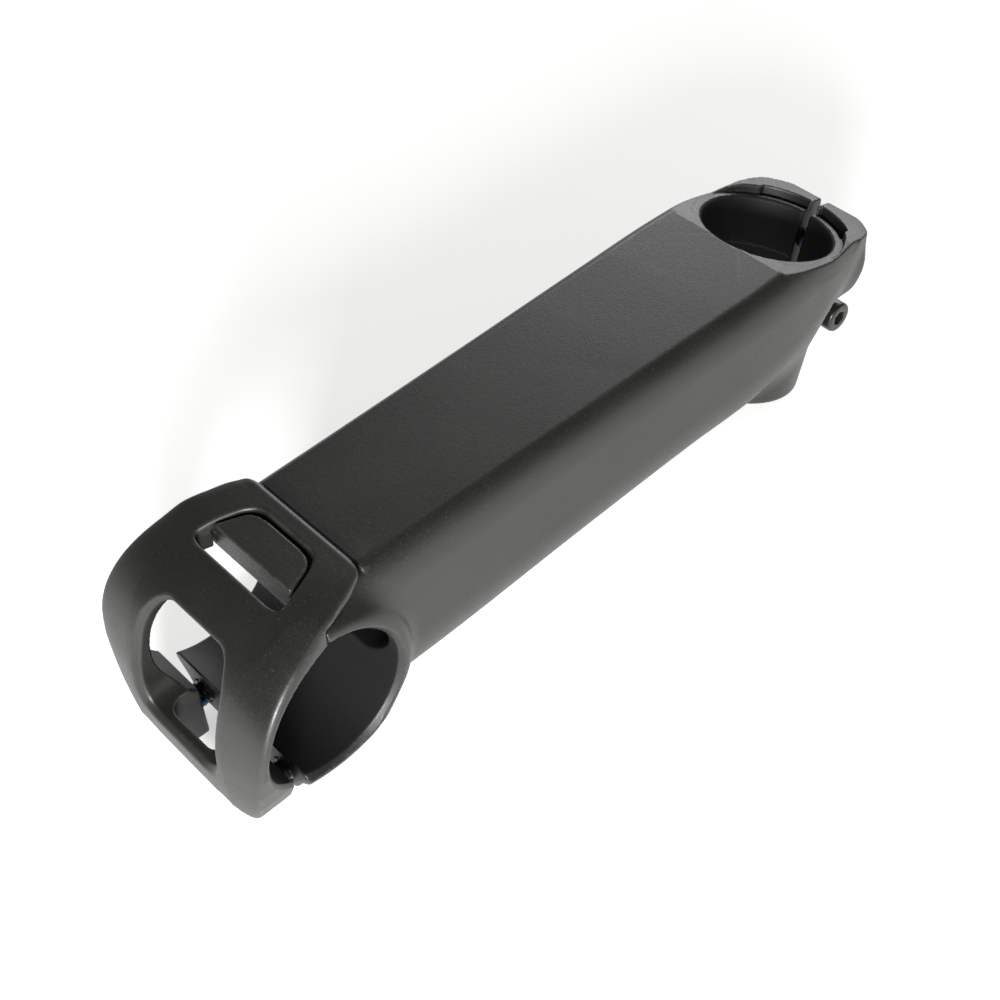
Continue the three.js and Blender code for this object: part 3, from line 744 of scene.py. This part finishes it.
# Each bolt: body name, size, a point on its axis, the axis, seat, tip, and the thread-lock's middle, side,
# length and spread.
bolts = {}
for side, name, towards, spread in ((1, "left", (0, -0.3, -1), 0.3), (-1, "right", (0, 0.7, -0.7), 0.34)):
    origin = (PLATE_BOLT[0], side * PLATE_BOLT[1], PLATE_BOLT[2])
    axis = (math.cos(PLATE_TILT), 0, -math.sin(PLATE_TILT))
    bolts[f"faceplate_{name}"] = (f"{name}_faceplate", M5, origin, axis, PLATE_SEAT, -PLATE_THREAD,
                                  (1.9, towards, 2.0, spread))
for name, (height, seat, side) in STEERER_BOLTS.items():
    bolts[f"steerer_{name}"] = (f"{name}_steerer", M4, steerer_point(BOLT_X, height), (0, side, 0), seat,
                                THREAD_END, (0.0, (1, 0, -0.1), 1.6, 0.26))
for node, (name, screw, origin, axis, seat, tip, patch) in bolts.items():
    p, q = around(origin, axis, bolt_rings(screw, seat + GAP + WASHER_T + GAP, tip), closed=False)
    make_piece(f"{node}_screw", place(p), q, f"{name}_bolt", f"{node}_bolt", BOLT_BLACK)
    p, q = around(origin, axis, washer_rings(screw, seat))
    make_piece(f"{node}_washer_ring", place(p), q, f"{name}_washer", f"{node}_washer",
               WASHER_GREY)
    p, q = patch_shell(screw, origin, axis, *patch)
    make_piece(f"{node}_paste", place(p), q, f"{name}_bolt", f"{node}_threadlock", PASTE)

# ---- Table, light and camera ------------------------------------------------------------------------------
table = bpy.data.meshes.new("table")
SPAN, STEPS = 1.6, 24
table.from_pydata([(SPAN * (i / STEPS - 0.5), SPAN * (j / STEPS - 0.5), -0.0002)
                   for j in range(STEPS + 1) for i in range(STEPS + 1)], [],
                  [(j * (STEPS + 1) + i, j * (STEPS + 1) + i + 1, (j + 1) * (STEPS + 1) + i + 1,
                    (j + 1) * (STEPS + 1) + i) for j in range(STEPS) for i in range(STEPS)])
floor = bpy.data.objects.new("table", table)
table.materials.append(paper())
bpy.context.scene.collection.objects.link(floor)

world = bpy.data.worlds.new("studio")
world.use_nodes = True
world.node_tree.nodes["Background"].inputs["Color"].default_value = (1, 1, 1, 1)
world.node_tree.nodes["Background"].inputs["Strength"].default_value = 0.17
bpy.context.scene.world = world


def lamp(name, at, towards, size, power):
    data = bpy.data.lights.new(name, "AREA")
    data.shape = "RECTANGLE"
    data.size, data.size_y = size
    data.energy = power
    light = bpy.data.objects.new(name, data)
    light.location = at
    light.visible_camera = False
    light.rotation_euler = (Vector(towards) - Vector(at)).to_track_quat("-Z", "Y").to_euler()
    bpy.context.scene.collection.objects.link(light)


lamp("softbox_back", (-1.10, -0.72, 0.50), (0, 0, 0), (0.8, 0.5), 7)
lamp("softbox_left", (0.20, 0.95, 0.30), (0, 0, 0), (1.0, 0.4), 1)
lamp("floor_light", (0.38, 0.34, 0.20), (0.13, 0.03, 0), (0.12, 0.12), 3.5)
bpy.context.scene.view_settings.view_transform = "Standard"

# The camera stands at the front left, above; its place and turn are in the design frame.
CAMERA = (224.4, 163.5, 254.3)
AZIMUTH, ELEVATION, ROLL = math.radians(48.42), math.radians(47.3), math.radians(-2.58)
FOCAL = 57.636
back = Vector((math.cos(AZIMUTH) * math.cos(ELEVATION), math.sin(AZIMUTH) * math.cos(ELEVATION),
               math.sin(ELEVATION)))
right = Vector((0, 0, 1)).cross(back).normalized()
up = back.cross(right)
across = math.cos(ROLL) * right + math.sin(ROLL) * up
upward = -math.sin(ROLL) * right + math.cos(ROLL) * up
data = bpy.data.cameras.new("camera")
data.sensor_width, data.lens = 36.0, FOCAL
data.clip_start = 0.01
camera = bpy.data.objects.new("camera", data)
bpy.context.scene.collection.objects.link(camera)
matrix = Matrix([place_direction(v) for v in (across, upward, back)]).transposed().to_4x4()
matrix.translation = Vector(place(CAMERA))
camera.matrix_world = matrix
bpy.context.scene.camera = camera
